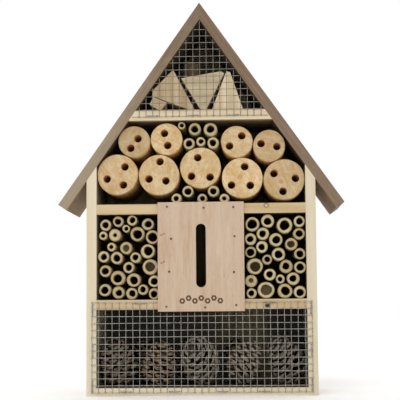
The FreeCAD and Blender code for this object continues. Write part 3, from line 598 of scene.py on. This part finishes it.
def build_cane(name, node, points, dice):
    """One cane: an uneven tube with a rough cut mouth, a node ridge and a stop inside."""
    low, high = corners(points)
    centre = (low + high) / 2
    outer = (high.x - low.x) / 2
    bore = min(math.hypot(point.x - centre.x, point.z - centre.z) for point in points)
    front = low.y - centre.y
    back = high.y - centre.y
    outline = wobble(dice, ((2, 0.02), (3, 0.015), (5, 0.008)))
    hollow = wobble(dice, ((2, 0.05), (3, 0.04), (4, 0.02)))
    shift = Vector((dice.uniform(-0.5, 0.5), 0, dice.uniform(-0.5, 0.5))) * (outer - bore) * 0.35
    tilt = (dice.uniform(-0.06, 0.06), dice.uniform(-0.06, 0.06))
    ridge = front + dice.uniform(0.2, 0.8) * (back - front)
    mesh = bmesh.new()
    rim = mesh.verts.layers.float.new("rim")

    def loop(y, size, shape, offset, value, roughness=0.0):
        made = []
        for angle in turns(CANE_SIDES):
            reach = size * shape(angle)
            x = reach * math.cos(angle) + offset.x
            z = reach * math.sin(angle) + offset.z
            lean = tilt[0] * x + tilt[1] * z if y < front + 3 * MM else 0
            vert = mesh.verts.new((x, y + lean + dice.uniform(0, roughness), z))
            vert[rim] = value
            made.append(vert)
        return made

    still = Vector((0, 0, 0))
    lip = 0.5 * MM
    outside = [loop(back, outer * 0.98, outline, still, 1.0)]
    for away, swell in CANE_RIDGE:
        y = ridge + away * MM
        if front + 6 * MM < y < back - 2 * MM:
            outside.append(loop(y, outer * swell, outline, still, 1.0))
    outside.append(loop(front + lip + 1 * MM, outer, outline, still, 1.0))
    for first, second in zip(outside, outside[1:]):
        bridge(mesh, first, second, 1)
    inner = bore * 0.98
    cut = [outside[-1], loop(front + lip + 0.3 * MM, outer * 0.975, outline, still, 0.97, 0.1 * MM)]
    for share in (0.85, 0.6, 0.35, 0.12):
        size = inner + (outer * 0.955 - inner) * share
        blended = outline if share > 0.5 else hollow
        cut.append(loop(front + lip * 0.5, size, blended, shift * (1 - share), share, 0.25 * MM))
    cut.append(loop(front + lip + 0.5 * MM, inner, hollow, shift, 0.0))
    for first, second in zip(cut, cut[1:]):
        bridge(mesh, first, second, 0)
    depth = stop_depth(centre) or dice.uniform(0.45, 0.9) * (back - front)
    inside = [cut[-1]]
    for share in (0.12, 0.4, 1.0):
        inside.append(loop(front + lip + 0.5 * MM + depth * share, inner * (1 - 0.05 * share),
                           hollow, shift, share * depth / (back - front)))
    for first, second in zip(inside, inside[1:]):
        bridge(mesh, first, second, 2)
    stop_y = front + lip + 0.5 * MM + depth
    stop = loop(stop_y - 0.4 * MM, inner * 0.5, hollow, shift, 1.0, 0.5 * MM)
    bridge(mesh, inside[-1], stop, 3)
    cap(mesh, stop, (shift.x, stop_y + 0.3 * MM, shift.z), 3)
    cap(mesh, outside[0], (0, back, 0), 0)
    piece = make_piece(name, mesh, CANE_MATERIALS, centre)
    piece.color = (dice.random(), dice.random() ** 2, dice.random(), 1.0)
    return stand_for(piece, node)


def build_canes():
    dice = random.Random(11)
    rows = sorted(name for name in frame["nodes"] if "canes" in name)
    for row in rows:
        for number, points in enumerate(islands(row), 1):
            build_cane("%s_cane_%d" % (row, number), row, points, dice)


# ------------------------------------------------------------------- the logs

PITH_SPAN = 20 * MM
LOG_MATERIALS = (log_end_wood(), log_side_wood(), drilled_wood())
LOG_SIDES = 96
LOG_CHAMFER = 0.7 * MM
HOLE_RADIUS = 4 * MM
HOLE_SIDES = 32
# The pith's place off the log's middle in millimetres and how strongly it shows,
# then how dark the log is, as painted shade and the log's own tone.
LOG_LOOKS = {"large_log_1": (-4, -6.3, 0.5, 0.42), "large_log_2": (3, 2, 0.1, 0.36),
             "large_log_3": (-4, 3, 0.1, 0.3), "large_log_4": (-2.5, 1.3, 0.8, 0.05),
             "large_log_5": (-3.4, -1.9, 1.0, 0.74), "small_log_1": (4.8, -5.3, 1.0, 0.97),
             "small_log_2": (-3, 4, 0.1, 0.12), "small_log_3": (2, 3, 0.1, 0.48),
             "small_log_4": (0, 1, 0.2, 0.86)}


def build_log(node, dice):
    """One log: uneven round, chamfered, with blind holes whose rims are torn a little."""
    low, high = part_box(node)
    centre = (low + high) / 2
    radius = (high.x - low.x) / 2
    front = low.y - centre.y
    back = high.y - centre.y
    outline = wobble(dice, ((2, 0.008), (3, 0.006), (7, 0.003), (11, 0.002)))
    mesh = bmesh.new()

    def circle(x, z, size, y, shape, sides, rough=0.0):
        made = []
        for angle in turns(sides):
            reach = size * shape(angle) + dice.uniform(-rough, rough)
            made.append(mesh.verts.new((x + reach * math.cos(angle), y,
                                        z + reach * math.sin(angle))))
        return made

    face = circle(0, 0, radius - LOG_CHAMFER, front, outline, LOG_SIDES, 0.06 * MM)
    edge = circle(0, 0, radius, front + LOG_CHAMFER, outline, LOG_SIDES)
    tail = circle(0, 0, radius, back - LOG_CHAMFER, outline, LOG_SIDES)
    end = circle(0, 0, radius - LOG_CHAMFER, back, outline, LOG_SIDES)
    bridge(mesh, face, edge, 0)
    bridge(mesh, edge, tail, 1)
    bridge(mesh, tail, end, 1)
    cap(mesh, end, (0, back, 0), 0)
    loops = [face]
    for name, (start, finish) in sorted(OPENINGS.items()):
        if not name.startswith(node + "_hole"):
            continue
        x = (start[0] + finish[0]) / 2 - centre.x
        z = (start[2] + finish[2]) / 2 - centre.z
        depth = finish[1] - centre.y
        round_hole = wobble(dice, ((2, 0.015), (5, 0.01)))
        mouth = circle(x, z, HOLE_RADIUS + 0.25 * MM, front, round_hole, HOLE_SIDES, 0.1 * MM)
        throat = circle(x, z, HOLE_RADIUS, front + 0.5 * MM, round_hole, HOLE_SIDES)
        bottom = circle(x, z, HOLE_RADIUS * 0.99, depth, round_hole, HOLE_SIDES)
        bridge(mesh, mouth, throat, 0)
        bridge(mesh, throat, bottom, 2)
        cap(mesh, bottom, (x, depth + 1.5 * MM, z), 2)
        loops.append(mouth)
    rim_edges = []
    for loop in loops:
        for index, vert in enumerate(loop):
            rim_edges.append(mesh.edges.get((vert, loop[(index + 1) % len(loop)])))
    bmesh.ops.triangle_fill(mesh, use_beauty=True, edges=rim_edges)
    piece = make_piece(node + "_turned", mesh, LOG_MATERIALS, centre, smooth=False)
    for polygon in piece.data.polygons:
        polygon.use_smooth = polygon.material_index != 0
    across, up, strength, tone = LOG_LOOKS[node]
    piece.color = (0.5 + across * MM / PITH_SPAN, 0.5 + up * MM / PITH_SPAN, tone, strength)
    return stand_for(piece, node)


def build_logs():
    dice = random.Random(5)
    for node in sorted(name for name in frame["nodes"] if "_log_" in name):
        build_log(node, dice)


# ------------------------------------------------------------------ pine cones

CONE_MATERIALS = (cone_scale(),)
SCALES = 68
# Along the scale, half width, half thickness and paleness, as shares.
SCALE_STATIONS = ((0.0, 0.3, 0.05, 0.0), (0.4, 0.62, 0.06, 0.1), (0.72, 0.95, 0.12, 0.3),
                  (0.9, 1.0, 0.34, 0.8), (1.0, 0.86, 0.3, 1.0))
SCALE_SIDES = 12
# Each cone's lean towards the viewer and to the side in degrees, greyness and darkness.
CONE_LOOKS = {"pine_cone_1": (25, -15, 0.3, 0.6), "pine_cone_2": (8, 10, 0.0, 0.25),
              "pine_cone_3": (62, -25, 0.9, 0.1), "pine_cone_4": (-10, 35, 0.55, 0.05),
              "pine_cone_5": (15, -38, 0.75, 0.4), "pine_cone_6": (0, 5, 0.2, 0.5),
              "pine_cone_7": (10, 15, 0.3, 0.5), "pine_cone_8": (5, -12, 0.3, 0.5)}


def add_scale(mesh, tip_layer, root, outward, upward, length, width, cup):
    """A spoon-shaped scale, thin at the root, with a thick blunt tip that has a boss."""
    sideways = outward.cross(upward).normalized()
    rings = []
    for along_share, wide, thick, pale in SCALE_STATIONS:
        loop = []
        for angle in turns(SCALE_SIDES):
            u = math.cos(angle)
            pull = 0.22 * u * u * along_share
            lift = cup * u * u * along_share + 0.12 * along_share ** 2
            place = root + outward * (length * (along_share - pull))
            place = place + sideways * (width / 2 * wide * u)
            place = place + upward * (width / 2 * thick * math.sin(angle) + width * lift)
            vert = mesh.verts.new(place)
            vert[tip_layer] = pale
            loop.append(vert)
        rings.append(loop)
    for first, second in zip(rings, rings[1:]):
        bridge(mesh, first, second)
    for loop, reach, pale in ((rings[0], 0.0, 0.0), (rings[-1], 1.1, 0.45)):
        middle = mesh.verts.new(root + outward * length * reach + upward * width * 0.1 * reach)
        middle[tip_layer] = pale
        for first, second in zip(loop, loop[1:] + loop[:1]):
            mesh.faces.new((first, second, middle))


def build_cone(node, dice):
    """A dry open cone: scales on a golden spiral whose tips lie on an egg shape."""
    low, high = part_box(node)
    centre = (low + high) / 2
    half = (high - low) / 2 * 0.98
    mesh = bmesh.new()
    tip_layer = mesh.verts.layers.float.new("tip")
    turn = dice.uniform(0, 2 * math.pi)
    axis = Vector((0, 0, 1))
    for index in range(SCALES):
        share = (index + 0.5) / SCALES
        angle = turn + index * GOLDEN_ANGLE
        height = -0.95 + 1.9 * share ** 0.95
        egg = math.sqrt(max(0.0, 1 - abs(height) ** 2.3)) * (1 - 0.12 * height)
        egg = max(egg, 0.14) * dice.uniform(0.92, 1.0)
        level = Vector((math.cos(angle), math.sin(angle), 0))
        climb = math.radians(-30 + 105 * share ** 1.1 + dice.uniform(-7, 7))
        outward = (level * math.cos(climb) + axis * math.sin(climb)).normalized()
        upward = (axis * math.cos(climb) - level * math.sin(climb)).normalized()
        length = (0.78 - 0.2 * share) * max(0.5, egg)
        width = (0.3 + 0.3 * egg) * dice.uniform(0.88, 1.12)
        tip = level * egg + axis * height * 1.3
        add_scale(mesh, tip_layer, tip - outward * length, outward, upward, length, width,
                  dice.uniform(0.05, 0.16))
    spine = [axis * 1.3 * step for step in (-0.9, -0.3, 0.3, 0.8)]
    tube(mesh, spine, 0.24, sides=12)
    forward, sideways, grey, shade = CONE_LOOKS[node]
    lean = (Matrix.Rotation(math.radians(forward), 4, "X")
            @ Matrix.Rotation(math.radians(sideways), 4, "Y"))
    bmesh.ops.transform(mesh, matrix=lean, verts=mesh.verts)
    least, most = corners([vert.co for vert in mesh.verts])
    for vert in mesh.verts:
        for number in range(3):
            share = (vert.co[number] - least[number]) / (most[number] - least[number])
            vert.co[number] = (2 * share - 1) * half[number]
    piece = make_piece(node + "_scales", mesh, CONE_MATERIALS, centre)
    piece.color = (grey, shade, 0.0, 1.0)
    return stand_for(piece, node)


def build_cones():
    dice = random.Random(23)
    for node in sorted(name for name in frame["nodes"] if name.startswith("pine_cone")):
        build_cone(node, dice)


# -------------------------------------------------------------- wire and steel

# The attic's wire is the lower wire's steel darkened as painted shade under the roof.
WIRES = {"lower_mesh": steel("lower_wire", srgb(184, 182, 175), srgb(142, 141, 134), 0.45),
         "attic_mesh": steel("attic_wire_shaded", srgb(158, 155, 147), srgb(120, 118, 110), 0.5)}
STAPLE = steel("staple_steel", srgb(168, 176, 182), srgb(110, 120, 128), 0.4, spots=0.2)
NAIL = steel("nail_steel", srgb(150, 120, 100), srgb(96, 66, 52), 0.55, spots=0.7)
ZINC = steel("hanger_zinc", srgb(196, 198, 196), srgb(158, 160, 158), 0.38, spots=0.15)


MESH_PITCH = 6.9 * MM
WIRE_WAVE = 38 * MM
WIRE_BEND = 0.22 * MM


def build_mesh_panel(node, dice):
    """Welded mesh: each wire slightly bent, with a flattened weld at each crossing."""
    uprights = []
    levels = []
    for points in islands(node):
        low, high = corners(points)
        (uprights if high.z - low.z > high.x - low.x else levels).append((low, high))
    mesh = bmesh.new()
    gauge = min(high.x - low.x for low, high in uprights) / 2 * 0.92
    for low, high in uprights + levels:
        upright = high.z - low.z > high.x - low.x
        run = (high.z - low.z) if upright else (high.x - low.x)
        steps = max(2, int(run / MESH_PITCH * 2))
        axis = Vector((0, 0, 1)) if upright else Vector((1, 0, 0))
        side = Vector((1, 0, 0)) if upright else Vector((0, 0, 1))
        middle = (low + high) / 2
        phase = dice.uniform(0, 6)
        path = []
        for step in range(steps + 1):
            share = step / steps
            bend = math.sin(phase + share * run / WIRE_WAVE) * WIRE_BEND
            bend += dice.uniform(-0.05, 0.05) * MM
            path.append(middle + axis * run * (share - 0.5) + side * bend)
        tube(mesh, path, gauge, sides=8)
    for low, high in uprights:
        for start, finish in levels:
            x = (low.x + high.x) / 2
            z = (start.z + finish.z) / 2
            if start.x < x < finish.x and low.z < z < high.z:
                spot = Vector((x, (low.y + start.y) / 2 + gauge, z))
                turn = Matrix.Translation(spot) @ Matrix.Diagonal((1.0, 0.8, 1.0, 1.0))
                bmesh.ops.create_icosphere(mesh, subdivisions=1, radius=gauge * 1.25, matrix=turn)
    return stand_for(make_piece(node + "_wires", mesh, (WIRES[node],)), node)


STAPLE_SHOULDER = 1.1 * MM


def build_staples(node):
    """Bent wire staples with rounded shoulders."""
    mesh = bmesh.new()
    for points in islands(node):
        low, high = corners(points)
        flat = high.x - low.x > high.z - low.z
        gauge = (high.z - low.z if flat else high.x - low.x) / 2
        along_crown = Vector((1, 0, 0)) if flat else Vector((0, 0, 1))
        half = (high.x - low.x if flat else high.z - low.z) / 2 - gauge
        middle = (low + high) / 2
        crown_y = low.y + gauge
        path = []
        for sign in (-1, 1):
            leg = middle + along_crown * half * sign
            bends = [Vector((leg.x, high.y, leg.z))]
            for step in range(5):
                angle = math.pi / 2 * step / 4
                inset = along_crown * (-sign * STAPLE_SHOULDER * (1 - math.cos(angle)))
                y = crown_y + STAPLE_SHOULDER * (1 - math.sin(angle))
                bends.append(Vector((leg.x, y, leg.z)) + inset)
            path += bends if sign < 0 else bends[::-1]
        tube(mesh, path, gauge, sides=8)
    return stand_for(make_piece(node + "_bent", mesh, (STAPLE,)), node)


NAIL_SIDES = 20
# From the dish to the shank: reach as a share of the head's, and millimetres from the front.
NAIL_PROFILE = ((0.55, 0.15), (0.9, 0.05), (1.0, 0.25), (1.0, 0.45), (0.9, 0.6), (0.5, 0.65))


def build_plate_nails():
    """Nails with a dished, hammered head and a short taper under it."""
    node = "plate_nails"
    mesh = bmesh.new()
    for points in islands(node):
        low, high = corners(points)
        centre = (low + high) / 2
        head = (high.x - low.x) / 2
        rings = []
        for share, y in NAIL_PROFILE:
            reach = share * head
            circle = []
            for angle in turns(NAIL_SIDES):
                circle.append((centre.x + reach * math.cos(angle), low.y + y * MM,
                               centre.z + reach * math.sin(angle)))
            rings.append(ring(mesh, circle))
        tail = [(vert.co.x, high.y - 2 * MM, vert.co.z) for vert in rings[-1]]
        rings.append(ring(mesh, tail))
        for first, second in zip(rings, rings[1:]):
            bridge(mesh, first, second)
        cap(mesh, rings[0], (centre.x, low.y + 0.22 * MM, centre.z))
        cap(mesh, rings[-1], (centre.x, high.y, centre.z))
    return stand_for(make_piece("plate_nails_heads", mesh, (NAIL,)), node)


HEXAGONS = 7
HEXAGON_REACH = 3.1 * MM
# How far the mark stands off the plate, and in as far again.
BURN_RAISE = 0.03 * MM


def build_burnt_mark():
    """A plain row of burnt hexagon outlines at the foot of the front plate."""
    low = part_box("front_plate")[0]
    mesh = bmesh.new()
    inner = HEXAGON_REACH * 0.4
    for index in range(HEXAGONS):
        x = (index - (HEXAGONS - 1) / 2) * HEXAGON_REACH * 2.05
        z = low.z + 10.5 * MM + (index % 2) * HEXAGON_REACH * 0.9
        y = low.y - BURN_RAISE
        rings = []
        for reach, depth in ((HEXAGON_REACH, 2 * BURN_RAISE), (HEXAGON_REACH, 0.0),
                             (inner, 0.0), (inner, 2 * BURN_RAISE)):
            rings.append(ring(mesh, [(x + reach * math.cos(angle), y + depth,
                                      z + reach * math.sin(angle)) for angle in turns(6)]))
        for first, second in zip(rings, rings[1:] + rings[:1]):
            bridge(mesh, first, second)
    piece = make_piece("burnt_hexagons", mesh, (burnt_wood(),), smooth=False)
    return piece


# --------------------------------------------------------------------- boards

def soften(node, width):
    """Rounds a board's arrises a little without touching its mesh."""
    piece = frame["nodes"][node]
    weld = piece.modifiers.new("weld", "WELD")
    weld.merge_threshold = 1e-6
    bevel = piece.modifiers.new("bevel", "BEVEL")
    bevel.width = width
    bevel.segments = 2
    bevel.limit_method = "ANGLE"
    bevel.angle_limit = math.radians(35)
    bevel.harden_normals = False


def dress(node, material, edge=0.5 * MM):
    """Gives a CAD node its material and softened edges."""
    piece = frame["nodes"][node]
    piece.data.materials.clear()
    piece.data.materials.append(material)
    if edge:
        soften(node, edge)


KNOT_PLACE = 66.3 * MM
OFFCUT_LOOKS = (
    ("offcut_triangle_left", "Z", TAN_OFFCUT_LIGHT, TAN_OFFCUT_DARK),
    ("offcut_small_block", "X", TAN_OFFCUT_LIGHT, TAN_OFFCUT_DARK),
    ("offcut_slab_middle", "X", GREY_OFFCUT_LIGHT, GREY_OFFCUT_DARK),
    ("offcut_triangle_right", "Z", OFFCUT_LIGHT, OFFCUT_DARK),
    # The rear offcuts are darkened as painted shade at the back of the attic.
    ("offcut_tall_rear", "Z", REAR_OFFCUT_SHADED_PALE, REAR_OFFCUT_SHADED_DEEP),
    ("offcut_strip_rear", "Z", REAR_OFFCUT_SHADED_PALE, REAR_OFFCUT_SHADED_DEEP),
)


# Painted shadows on the back of the cone room, as the arguments of Shader.knot.
BACK_PATCHES = ((-50 * MM, 72 * MM, 72 * MM, 50 * MM, BACK_SHADE, BACK_SHADE),
                (100 * MM, 72 * MM, 34 * MM, 50 * MM, BACK_SHADE, BACK_SHADE))


def dress_boards():
    middle_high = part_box("middle_shelf")[1]
    lower_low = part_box("lower_shelf")[0]
    shelf_knot = (KNOT_PLACE, middle_high.z - 2.5 * MM, 2.6 * MM, 2.5 * MM, KNOT_HEART, KNOT_RIM)
    # The gouge is flat: its dark core is painted shade standing in for its depth.
    gouge = (KNOT_PLACE, lower_low.z + 3.2 * MM, 2.8 * MM, 2.1 * MM, GOUGE_PAINTED_SHADE, GOUGE_PAINTED_SHADE)
    # The inside values set how much painted shade darkens each board in the rooms.
    dress("left_wall", sawn_wood("left_wall_pine", "Z", PINE_LIGHT, PINE_DARK, 1,
                                 contrast=0.3, inside=0.75))
    dress("right_wall", sawn_wood("right_wall_pine", "Z", DULL_PINE_LIGHT, PINE_DARK, 2,
                                  contrast=0.3, inside=0.75))
    dress("base_board", sawn_wood("base_pine", "X", PINE_LIGHT, PINE_DARK, 3, contrast=0.4,
                                  inside=0.85))
    dress("lower_shelf", sawn_wood("lower_shelf_pine", "X", WARM_LIGHT, WARM_DARK, 4,
                                   knots=(gouge,), inside=0.8))
    dress("middle_shelf", sawn_wood("middle_shelf_pine", "X", WARM_LIGHT, WARM_DARK, 5,
                                    knots=(shelf_knot,), inside=0.8))
    dress("attic_shelf", sawn_wood("attic_shelf_pine", "X", SHELF_LIGHT, SHELF_DARK, 6,
                                   contrast=0.4, inside=0.7))
    dress("divider_left", sawn_wood("divider_pine", "Z", PINE_LIGHT, PINE_DARK, 7, inside=0.4))
    dress("divider_right", frame["nodes"]["divider_left"].data.materials[0])
    # The back panel's forward face carries painted shade, dark where the rooms lie in shadow; outer
    # gives its other faces plain wood.
    dress("back_panel", sawn_wood("back_plywood", "Z", BACK_SHADED_PALE, BACK_SHADED_DEEP, 8, rings=420.0,
                                  contrast=0.3, streaks=BACK_STREAK, knots=BACK_PATCHES,
                                  outer=(WARM_LIGHT, WARM_DARK)), 0)
    dress("front_plate", plate_wood(), 0)
    for number, node in enumerate(("roof_left", "roof_right")):
        dress(node, roof_wood(node, *ROOF_SIDES[number], 9 + number), 0.6 * MM)
    for number, (node, axis, light, dark) in enumerate(OFFCUT_LOOKS):
        dress(node, sawn_wood(node + "_wood", axis, light, dark, 12 + number, contrast=0.5,
                              fibre=0.6, streaks=OFFCUT_STREAK), 0.4 * MM)


# Which way each roof board falls, how much of the darker stain it took, and how far its
# eave has bleached.
ROOF_SIDES = ((-1, 0.27, 0.34), (1, 0.45, 0.06))


def roof_wood(name, side, darker, bleach, seed):
    """Stained board whose grain follows its slope."""
    s = Shader(name + "_stain", 0.7)
    low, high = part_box(name)
    slope = math.atan2(high.z - low.z, high.x - low.x) * side
    turned = s.add("Mapping", {"Vector": s.coords, "Rotation": (0, -slope, 0)}).outputs["Vector"]
    shift = (seed * 0.3, seed * 0.7, seed * 0.2)
    broad = s.noise(s.stretched((6, 60, 60), shift, turned), detail=4.0, distortion=0.4)
    fibres = s.noise(s.stretched((60, 1500, 1500), shift, turned), detail=4.0, roughness=0.7)
    streak = s.noise(s.stretched((16, 420, 420), shift, turned), detail=4.0, roughness=0.6)
    cloud = s.noise(s.coords, scale=70.0, detail=4.0)
    colour = s.mix(s.window(streak, 0.32, 0.68), ROOF_LIGHT, ROOF_DARK)
    colour = s.mix(s.window(broad, 0.45, 0.7, 0.0, 0.6), colour, ROOF_GREY)
    colour = s.mix(s.window(cloud, 0.55, 0.75, 0.0, 0.4), colour, srgb(168, 140, 110))
    colour = s.mix(s.window(fibres, 0.54, 0.7, 0.0, 0.6), colour, srgb(84, 66, 50))
    colour = s.mix(darker, colour, ROOF_DEEP)
    out = s.maths("ABSOLUTE", s.split(s.coords)["X"])
    colour = s.mix(s.window(out, 0.03, 0.12, 0.0, bleach), colour, ROOF_PALE)
    # Painted shade: every face that looks down is darkened, and those inside the walls darker
    # still.
    facing = s.split(s.add("NewGeometry").outputs["Normal"])["Z"]
    under = s.window(facing, -0.1, -0.3)
    colour = s.mix(s.maths("MULTIPLY", under, 0.5), colour, srgb(108, 80, 42))
    inside = s.window(out, INSIDE_HALF, INSIDE_HALF + 2 * MM, 0.75, 0.0)
    colour = s.mix(s.maths("MULTIPLY", under, inside), colour, INSIDE_SHADE)
    height = s.weigh((fibres, 0.7), (streak, 0.5))
    return s.finish(colour, s.window(fibres, 0.3, 0.7, 0.6, 0.85), height, 0.0003, 0.6)


def dress_steel():
    for node in ("frame_nails", "roof_nails", "rear_nails"):
        dress(node, NAIL, 0.15 * MM)
    dress("hanger_plate", ZINC, 0.2 * MM)
    dress("hanger_screws", ZINC, 0.3 * MM)


# --------------------------------------------------------- studio and camera

def build_studio():
    """A white floor, a soft sun from the upper left and an even white surround."""
    scene = bpy.context.scene
    scene.view_settings.view_transform = "Standard"
    scene.view_settings.look = "None"
    world = bpy.data.worlds.new("white_surround")
    world.use_nodes = True
    tree = world.node_tree
    background = tree.nodes["Background"]
    background.inputs["Color"].default_value = (1, 1, 1, 1)
    background.inputs["Strength"].default_value = WORLD_LIGHT
    scene.world = world
    mesh = bmesh.new()
    bmesh.ops.create_circle(mesh, cap_ends=True, segments=64, radius=6.0)
    data = bpy.data.meshes.new("floor")
    mesh.to_mesh(data)
    mesh.free()
    data.materials.append(floor_paper())
    floor = bpy.data.objects.new("floor", data)
    scene.collection.objects.link(floor)
    for name, azimuth, elevation, strength, spread in SUNS:
        lamp = bpy.data.lights.new(name, "SUN")
        lamp.energy = strength
        lamp.angle = math.radians(spread)
        light = bpy.data.objects.new(name, lamp)
        around = math.radians(azimuth)
        rise = math.radians(elevation)
        heading = Vector((math.sin(around) * math.cos(rise), -math.cos(around) * math.cos(rise),
                          math.sin(rise)))
        light.rotation_euler = heading.to_track_quat("Z", "Y").to_euler()
        scene.collection.objects.link(light)


WORLD_LIGHT = 1.0
# Name, degrees to the right of the front, degrees up, strength, softness in degrees.
SUNS = (("key_sun", -14, 50, 0.55, 25),)


CAMERA_PLACE = (0.0453, -1.2139, 0.0879)
CAMERA_LENS = 104.2
# In degrees: to the left, up, and round the line of sight.
CAMERA_YAW = 2.255
CAMERA_PITCH = 5.303
CAMERA_ROLL = -0.45


def build_camera():
    """A long lens a little right of the middle, low down and tipped slightly up."""
    data = bpy.data.cameras.new("camera")
    data.sensor_width = 36.0
    data.lens = CAMERA_LENS
    data.clip_start = 0.05
    camera = bpy.data.objects.new("camera", data)
    turn = Matrix.Rotation(math.radians(CAMERA_YAW), 4, "Z")
    turn = turn @ Matrix.Rotation(math.radians(90 + CAMERA_PITCH), 4, "X")
    turn = turn @ Matrix.Rotation(math.radians(CAMERA_ROLL), 4, "Z")
    camera.matrix_world = Matrix.Translation(CAMERA_PLACE) @ turn
    bpy.context.scene.collection.objects.link(camera)
    bpy.context.scene.camera = camera


build_studio()
build_camera()
dress_boards()
dress_steel()
build_canes()
build_logs()
build_cones()
for panel in ("lower_mesh", "attic_mesh"):
    build_mesh_panel(panel, random.Random(31))
for group in ("lower_staples", "attic_staples"):
    build_staples(group)
build_plate_nails()
build_burnt_mark()
